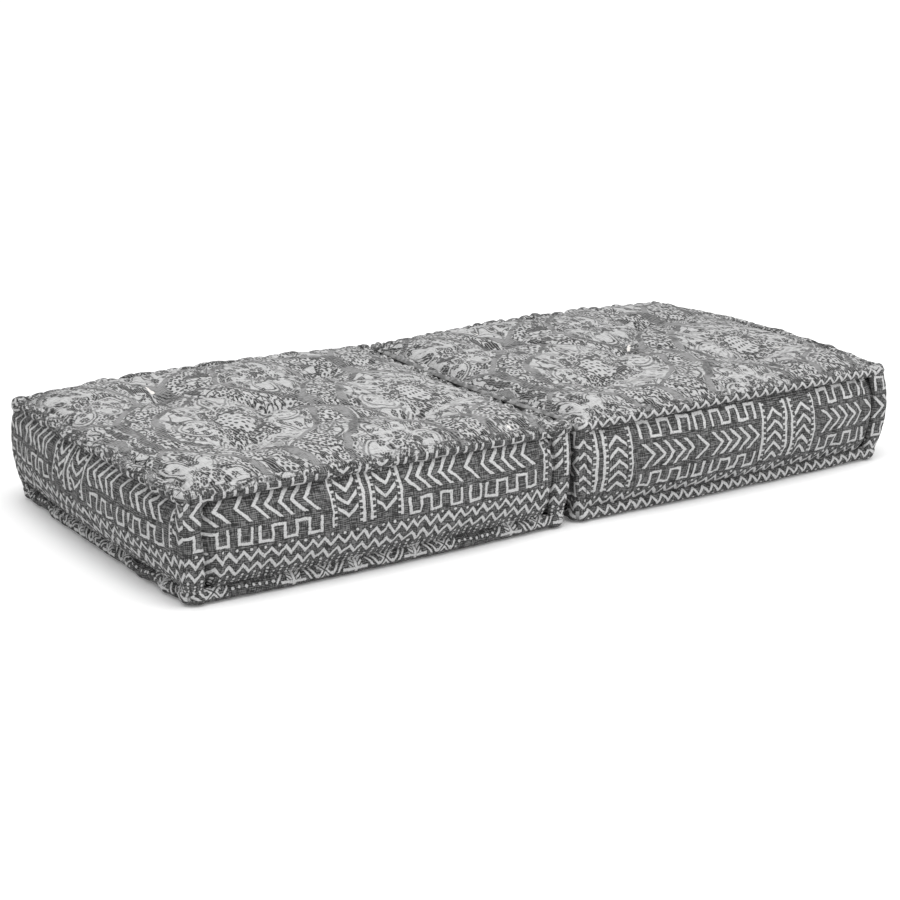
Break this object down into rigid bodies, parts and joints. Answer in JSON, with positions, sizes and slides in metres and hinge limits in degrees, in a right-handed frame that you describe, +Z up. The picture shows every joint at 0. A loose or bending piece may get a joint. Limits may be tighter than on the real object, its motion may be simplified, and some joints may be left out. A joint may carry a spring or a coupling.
{
  "type": "modular pouf",
  "caption": "Low folding floor pouf: two tufted square cushions with stitched roll edges, joined along their inner top edges and stacked when folded.",
  "frame": {"origin": "on the floor, under the middle of the fold line between the two cushions", "axes": "+X along the pair of cushions, +Y towards the back, +Z up"},
  "size_m": [1.3704, 0.6564, 0.178],
  "materials": {
    "top_cloth": "heavy cotton weave, mid grey with a pale floral print",
    "side_cloth": "heavy cotton weave, charcoal with pale geometric lines",
    "plain_cloth": "plain charcoal cotton weave",
    "cotton_fill": "packed cotton wadding",
    "twine": "waxed cotton twine"
  },
  "bodies": {
    "left_cushion": {"left_cotton_fill": "cotton_fill", "left_top_cover": "top_cloth", "left_bottom_cover": "plain_cloth", "left_front_band": "side_cloth", "left_end_band": "side_cloth", "left_back_band": "side_cloth", "left_inner_band": "side_cloth", "left_top_roll": "top_cloth", "left_bottom_roll": "side_cloth", "left_corner_rolls": "side_cloth", "left_tuft_twine": "twine", "left_top_knots": "twine", "left_bottom_knots": "twine", "left_hinge_tape": "plain_cloth"},
    "right_cushion": {"right_cotton_fill": "cotton_fill", "right_top_cover": "top_cloth", "right_bottom_cover": "plain_cloth", "right_front_band": "side_cloth", "right_end_band": "side_cloth", "right_back_band": "side_cloth", "right_inner_band": "side_cloth", "right_top_roll": "top_cloth", "right_bottom_roll": "side_cloth", "right_corner_rolls": "side_cloth", "right_tuft_twine": "twine", "right_top_knots": "twine", "right_bottom_knots": "twine", "right_hinge_tape": "plain_cloth"}
  },
  "joints": [
    {"name": "fold", "type": "hinge", "parent": "left_cushion", "child": "right_cushion", "pos_m": [0, 0, 0.172], "axis": [0, -1, 0], "range_deg": [0, 175]}
  ]
}
